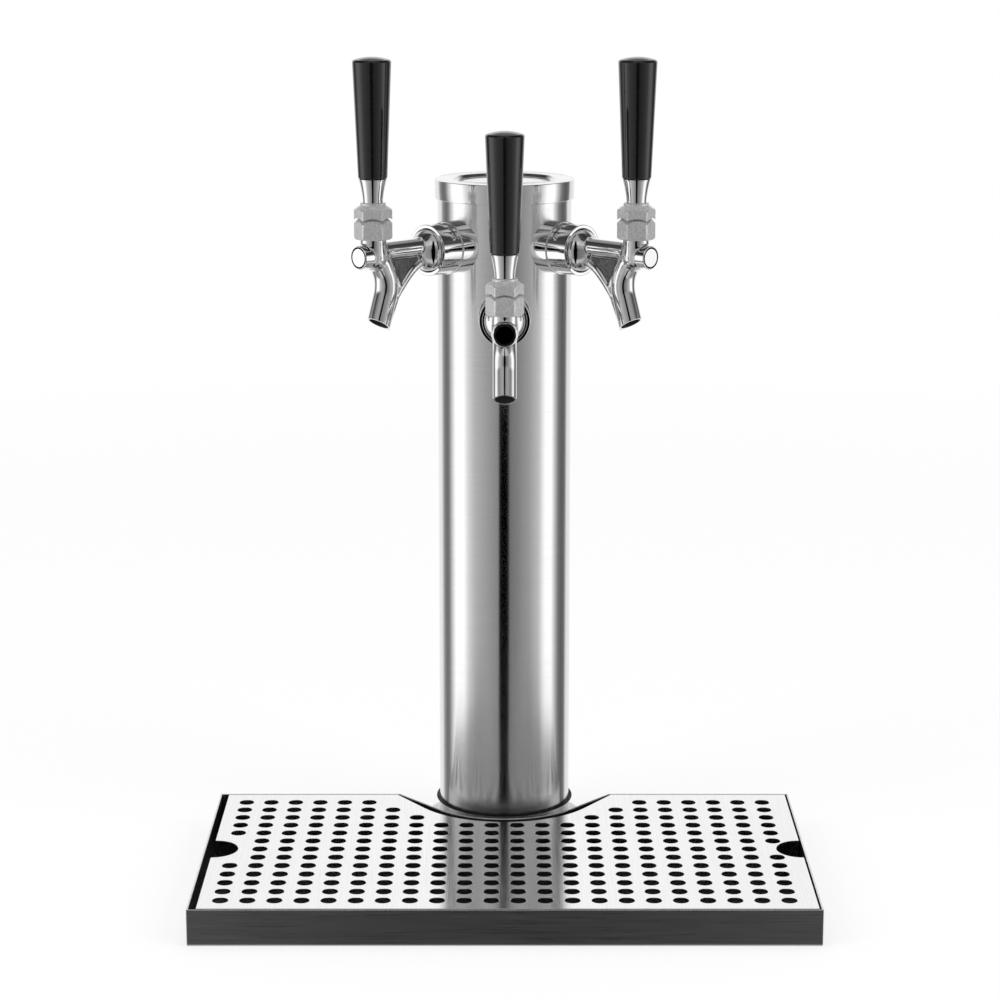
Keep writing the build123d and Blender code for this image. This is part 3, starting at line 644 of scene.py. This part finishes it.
wall_flange_r, wall_flange_back, wall_flange_front = 0.0149, 0.034, 0.047
for side in faucets:
    flange = laid_out(turned([(shank_r, wall_flange_back), (wall_flange_r, wall_flange_back),
                              (wall_flange_r, wall_flange_front), (shank_r, wall_flange_front)],
                             96))
    soften(flange, 0.0006)
    flange = cut(flange, rod(tube_r, -0.05, 0.05, 192))
    show(side + "_wall_flange", on_faucet(flange, side), polished, "tower", "polished_chrome",
         side + "_shank_flange")


# Coupling nuts: chrome-plated rings with six blind holes for a pin spanner.
# Each holds a faucet's bell on the front of its shank.

nut_r, nut_front, pin_hole_r, pin_hole_at = 0.0142, 0.061, 0.0015, 0.052
bell_room_r, bell_room_back, lip_r, lip_back = 0.0130, 0.0565, 0.0122, 0.0598
for side in faucets:
    nut = turned([(shank_r, wall_flange_front), (nut_r, wall_flange_front), (nut_r, nut_front),
                  (lip_r, nut_front), (lip_r, lip_back), (bell_room_r, lip_back),
                  (bell_room_r, bell_room_back), (shank_r, bell_room_back)], 96)
    soften(nut, 0.0006)
    pins = [moved(rod(pin_hole_r, 0.0126, 0.016, 24),
                  Matrix.Translation((0, 0, pin_hole_at))
                  @ Matrix.Rotation(math.radians(60 * turn + 30), 4, "Z")
                  @ Matrix.Rotation(math.pi / 2, 4, "Y")) for turn in range(6)]
    nut = laid_out(cut(nut, joined(*pins)))
    show(side + "_coupling_ring", on_faucet(nut, side), polished, "tower", "polished_chrome",
         side + "_coupling_nut")


# Faucet bodies: brass castings, polished and chrome-plated. A domed bell goes
# into the coupling nut, and an arm leads to the upright chamber with its round
# boss. Two bars with a web between them brace the bent spout; the web's sides
# are painted dark as painted shade.

def in_side_plane(bm):
    """Stand a shape that was drawn as (out, up) in the faucet's side plane."""
    return moved(bm, Matrix(((0, 0, -1, 0), (-1, 0, 0, 0), (0, 1, 0, 0), (0, 0, 0, 1))))


spout_top, elbow, spout_tip = (Vector(spot) for spot in (
    (0.0991, 0.0021), (0.0900, -0.0145), (0.0976, -0.0370)))
fall, run = (elbow - spout_top).normalized(), (spout_tip - elbow).normalized()


def side_bar(radius, *knots, factors=()):
    """A round bar along a line in the side plane, thicker or thinner at its knots by factors."""
    curve = bpy.data.curves.new("bar", "CURVE")
    curve.dimensions, curve.bevel_depth, curve.bevel_resolution = "3D", radius, 12
    curve.use_fill_caps = True
    drawn(curve, knots, 24, closed=False)
    for point, factor in zip(curve.splines[0].bezier_points, factors):
        point.radius = factor
    return in_side_plane(curve_mesh(curve))


def spout_pipe(radius, past):
    """The bent spout as a plain bar that runs past its tip."""
    return side_bar(radius, spout_top, (elbow - fall * 0.008, None, fall * 0.0051),
                    (elbow + run * 0.008, -run * 0.0051, None), spout_tip + run * past)


lever_out, arm_height, boss_height, boss_end = 0.101, 0.0026, 0.0006, 0.112
at_lever = Matrix.Translation((0, -lever_out, 0))


def ball(radius, height):
    bm = bmesh.new()
    bmesh.ops.create_uvsphere(bm, u_segments=64, v_segments=32, radius=radius,
                              matrix=Matrix.Translation((0, 0, height)))
    return bm


bell = laid_out(turned([(0, 0.057), (0.0129, 0.057), (0.0129, 0.0596), (0.0117, 0.0596),
                        (0.0117, 0.0606), (0.0113, 0.0621), (0.0103, 0.0637), (0.0090, 0.0651),
                        (0.0076, 0.0663), (0.0062, 0.0674), (0.0046, 0.0684), (0, 0.0684)], 96))
arm = laid_out(rod(0.0049, 0.0625, lever_out), arm_height)
chamber_r, neck_r, chamber_top = 0.0075, 0.0071, 0.0154
chamber = moved(joined(ball(chamber_r, 0), rod(chamber_r, 0, arm_height),
                       turned([(0, 0.0020), (chamber_r, 0.0020), (neck_r, 0.0094),
                               (neck_r, chamber_top), (0, chamber_top)], 64)), at_lever)
boss = laid_out(rod(0.0064, lever_out - 0.002, boss_end + 0.005), boss_height)

# The brace's outline, and the lines of its two bars.
behind = Vector((run.y, -run.x))
heel, back_point = spout_tip + behind * 0.0084 + run * 0.0035, Vector((0.08245, -0.02401))
slope = Vector((0.62, -0.785))
profile = [(heel, -run * 0.006, None), spout_tip + behind * 0.005 + run * 0.0035,
           (lever_out, arm_height), (0.0626, arm_height),
           ((0.0626, -0.0082), None, Vector((0.0084, -0.0010))),
           (back_point, -slope * 0.0085, slope * 0.0058)]
web = in_side_plane(flat_plate(0.001, profile, (), 0.0008, 3))
rear_bar_r, front_bar_r = 0.0022, 0.0018
rear_bar = side_bar(rear_bar_r, ((0.0629, -0.0052), None, Vector((0.0084, -0.0010))),
                    (back_point + Vector((0.785, 0.62)) * rear_bar_r, -slope * 0.0085,
                     slope * 0.0058),
                    (heel - behind * 0.0020, -run * 0.006, None), factors=(1.35, 1.0, 0.9))
ridge_top = spout_top + fall * 0.008 + Vector((fall.y, -fall.x)) * 0.0055
front_bar = side_bar(front_bar_r, (ridge_top, None, fall * 0.006),
                     (elbow + behind * 0.0079 + run * 0.002, Vector((0.0004, 0.0060)),
                      Vector((0.0004, -0.0060))),
                     (heel - behind * 0.0022, -run * 0.008, None), factors=(0.6, 1.0, 1.0))

# The parts run together like a casting's, and the machined faces and bores come after that.
spout_r, spout_bore_r = 0.0066, 0.0056
casting = joined(bell, arm, chamber, boss, web, rear_bar, front_bar, spout_pipe(spout_r, 0.0035))
casting = worked(casting,
                 ("REMESH", None, {"mode": "VOXEL", "voxel_size": 0.0003, "adaptivity": 0}),
                 ("SMOOTH", None, {"factor": 0.5, "iterations": 60}))

tip_block = bmesh.new()
bmesh.ops.create_cube(tip_block, size=0.03)
down = Matrix.Rotation(math.radians(-13), 3, "X") @ Vector((0, -run.x, run.y))
moved(tip_block, Matrix.Translation(Vector((0, -spout_tip.x, spout_tip.y)) + down * 0.015)
      @ down.to_track_quat("Z", "X").to_matrix().to_4x4())
boss_face = laid_out(turned([
    (0, boss_end), (0.0049, boss_end), (0.0054, 0.1109), (0.0059, boss_end), (0.0061, boss_end),
    (0.0067, 0.1114), (0.0090, 0.1114), (0.0090, 0.119), (0, 0.119)], 64), boss_height)
valve_bore = laid_out(turned([(0, 0.050), (0.0032, 0.050), (0.0032, 0.10655), (0.00175, 0.10655),
                              (0.00175, 0.109), (0, 0.109)], 48), arm_height)
socket = moved(turned([(0, arm_height), (0.0042, arm_height), (0.0042, 0.0072),
                       (0.0057, 0.0072), (0.0057, 0.0170), (0, 0.0170)], 64), at_lever)
for tool in (tip_block, boss_face, spout_pipe(spout_bore_r, 0.006), valve_bore, socket):
    casting = cut(casting, tool, solver="MANIFOLD")

# Painted shade: the boss's groove and the inside of the spout are painted black for the shade in
# them.
bore_shade_paint, tree = empty_material("painted_shade_spout_bore")
finish(tree, base_color=between(tree, grain(tree, 0.001), (0.012, 0.012, 0.012),
                                (0.03, 0.03, 0.031)),
       roughness=between(tree, grain(tree, 0.002), 0.55, 0.75),
       normal=bumped(tree, grain(tree, 0.0006), 0.00005))
# Painted shade: the web between the bars is painted dark for the shade in its recess.
web_shade_paint, tree = empty_material("painted_shade_web")
finish(tree, base_color=between(tree, grain(tree, 0.0015), (0.10, 0.10, 0.10),
                                (0.18, 0.18, 0.182)),
       metallic=1.0, roughness=between(tree, grain(tree, 0.002), 0.26, 0.38),
       normal=bumped(tree, grain(tree, 0.0006), 0.00002))

# Painted shade: the web's sides get a dark metal, and the boss's groove and the spout's bore get
# black.
run_start, along_run = Vector((0, -elbow.x, elbow.y)), Vector((0, -run.x, run.y))
for face in casting.faces:
    place = face.calc_center_median()
    if abs(place.x) < 0.0013 and abs(face.normal.x) > 0.9:
        face.material_index = 2
    from_boss_axis = math.hypot(place.x, place.z - boss_height)
    if -0.11195 < place.y < -0.1105 and 0.0048 < from_boss_axis < 0.0060:
        face.material_index = 1
    spot = place - run_start
    outward = spot - along_run * spot.dot(along_run)
    if (spot.dot(along_run) > 0.004 and outward.length < 0.0060
            and face.normal.dot(outward) < -0.5 * outward.length):
        face.material_index = 1

for side in faucets:
    piece = show(side + "_casting", on_faucet(casting.copy(), side), polished, "tower",
                 "polished_chrome", side + "_faucet_body", even=False, crease=42)
    piece.data.materials.append(bore_shade_paint)
    piece.data.materials.append(web_shade_paint)
casting.free()


# Bonnet collars: hexagons with a round crown, milled and left with a grainy
# satin finish. Each is screwed on the chamber and keeps the lever's ball down.

satin_hex, tree = empty_material("grainy_satin_chrome")
blasted = grain(tree, 0.0011, detail=4)
finish(tree, base_color=between(tree, blasted, (0.70, 0.70, 0.71), (0.99, 0.99, 0.995)),
       metallic=0.75, roughness=between(tree, blasted, 0.50, 0.38),
       normal=bumped(tree, blasted, 0.00012))

# The lever turns about a pivot at this height over the shank's axis.
half_across_flats, hex_corner_r, pivot = 0.0093, 0.0104, 0.011


def hexagon(low, high, side):
    """A hexagonal bar on the lever's axis with one flat towards the customer."""
    corner = half_across_flats / math.cos(math.pi / 6)
    turn = Matrix.Rotation(math.radians(30 - faucets[side][0]), 4, "Z")
    bm = bmesh.new()
    bmesh.ops.create_cone(bm, cap_ends=True, segments=6, radius1=corner, radius2=corner,
                          depth=high - low,
                          matrix=turn @ Matrix.Translation((0, 0, (low + high) / 2)))
    return bm


def crown_arc(radius, start, end, centre=pivot, steps=10):
    """Points of a sphere about a point on the lever's axis, by their distance from the axis."""
    radii = [start + (end - start) * step / steps for step in range(steps + 1)]
    return [(r, centre + math.sqrt(radius ** 2 - r ** 2)) for r in radii]


for side in faucets:
    blank = turned([(0.0081, 0.010), (0.0096, 0.010), (hex_corner_r, 0.0108),
                    *crown_arc(0.0129, hex_corner_r, 0.00722), (0.00455, chamber_top),
                    (0.0081, chamber_top)], 96)
    collar = cut(hexagon(0.008, 0.026, side), blank, "INTERSECT")
    soften(collar, 0.0002, 2, 40)
    show(side + "_bonnet", on_faucet(moved(collar, at_lever), side), satin_hex, "tower",
         "satin_chrome", side + "_bonnet_collar")


# Lever nuts: hexagons of the same width and finish, screwed on the lever and
# hollowed underneath so that they ride over the crown as the handle tips.

stem_r, ferrule_foot = 0.0031, 0.0296
for side in faucets:
    blank = turned([(stem_r, 0.0247), (stem_r, ferrule_foot), (0.0069, ferrule_foot),
                    (0.0069, 0.0284), (0.0096, 0.0266), (hex_corner_r, 0.0258),
                    *crown_arc(0.0142, hex_corner_r, stem_r)], 96)
    nut = cut(hexagon(0.018, 0.032, side), blank, "INTERSECT")
    soften(nut, 0.0002, 2, 40)
    show(side + "_top_nut", on_faucet(moved(nut, at_lever), side), satin_hex, side + "_tap",
         "satin_chrome", side + "_lever_nut")


# Ferrules: chrome-plated cones with a straight foot and slightly hollow
# sides. The spigot on top is what the handle is pressed on.

def hollow_side(start, end, depth, steps=12):
    """Points from one (radius, height) to another, bowed inwards by a depth."""
    return [(start[0] + (end[0] - start[0]) * share - 4 * depth * share * (1 - share),
             start[1] + (end[1] - start[1]) * share)
            for share in (step / steps for step in range(steps + 1))]


handle_foot, handle_spigot_r, handle_spigot_top = 0.0426, 0.0040, 0.0626
for side in faucets:
    ferrule = turned([(stem_r, ferrule_foot), (0.0055, ferrule_foot),
                      *hollow_side((0.0055, 0.0311), (0.0077, handle_foot), 0.00025),
                      (handle_spigot_r, handle_foot), (handle_spigot_r, handle_spigot_top),
                      (stem_r, handle_spigot_top)], 96)
    soften(ferrule, 0.0002, 2, 40)
    show(side + "_handle_ferrule", on_faucet(moved(ferrule, at_lever), side), polished,
         side + "_tap", "polished_chrome", side + "_ferrule")


# Tap handles: glossy black phenolic, turned to a taper that widens upwards,
# with a low crown and a rounded edge.

phenolic, tree = empty_material("black_phenolic")
finish(tree, base_color=between(tree, grain(tree, 0.0015), (0.003, 0.003, 0.003),
                                (0.006, 0.006, 0.0063)),
       roughness=between(tree, grain(tree, 0.007), 0.12, 0.20), ior=1.5, coat_weight=0.6,
       coat_roughness=0.04, normal=bumped(tree, grain(tree, 0.0009), 0.000004))

handle_bore_r, handle_bore_top, handle_r = 0.0041, 0.0627, 0.0106
for side in faucets:
    handle = turned([(0, handle_bore_top), (handle_bore_r, handle_bore_top),
                     (handle_bore_r, handle_foot), (0.00795, handle_foot),
                     *crown_arc(0.030, handle_r, 0, centre=0.0781)], 96)
    soften(handle, 0.0012, 5, 60)
    show(side + "_handle", on_faucet(moved(handle, at_lever), side), phenolic, side + "_tap",
         "black_handle", side + "_tap_handle")


# Pieces inside: the lever with its ball and tongue, the plunger, the shanks
# with their nuts, saddles and hose elbows, the washers and the foam sleeve
# keep their solid forms and get the finish of what they are made of.

def dress(material, *nodes):
    for node in nodes:
        for slot in frame["nodes"][node].material_slots:
            slot.material = material


machined, tree = empty_material("machined_stainless")
tool_marks = grain(tree, 0.0004, (6, 6, 1))
finish(tree, base_color=between(tree, tool_marks, (0.55, 0.55, 0.56), (0.68, 0.68, 0.69)),
       metallic=1.0, roughness=between(tree, tool_marks, 0.16, 0.28),
       normal=bumped(tree, tool_marks, 0.00001))

brass, tree = empty_material("turned_brass")
tool_marks = grain(tree, 0.0005, (5, 5, 1))
finish(tree, base_color=between(tree, grain(tree, 0.006), (0.60, 0.42, 0.17), (0.72, 0.53, 0.25)),
       metallic=1.0, roughness=between(tree, tool_marks, 0.22, 0.36),
       normal=bumped(tree, tool_marks, 0.00001))

nylon, tree = empty_material("white_nylon")
finish(tree, base_color=between(tree, grain(tree, 0.003), (0.74, 0.73, 0.69), (0.82, 0.81, 0.78)),
       roughness=between(tree, grain(tree, 0.002), 0.40, 0.52),
       normal=bumped(tree, grain(tree, 0.0008), 0.00001))

foam, tree = empty_material("grey_foam")
cells = grain(tree, 0.0011, detail=5)
finish(tree, base_color=between(tree, cells, (0.045, 0.045, 0.048), (0.11, 0.11, 0.115)),
       roughness=between(tree, cells, 0.80, 0.95), normal=bumped(tree, cells, 0.0004))

slot_finish = {"polished_chrome": polished, "satin_chrome": satin_hex, "stainless_bar": machined,
               "brass": brass, "nylon": nylon, "foam": foam, "black_rubber": rubber}
for subpart in frame["record"]["subparts"]:
    if subpart["material_slot"] in slot_finish:
        dress(slot_finish[subpart["material_slot"]], subpart["node"])
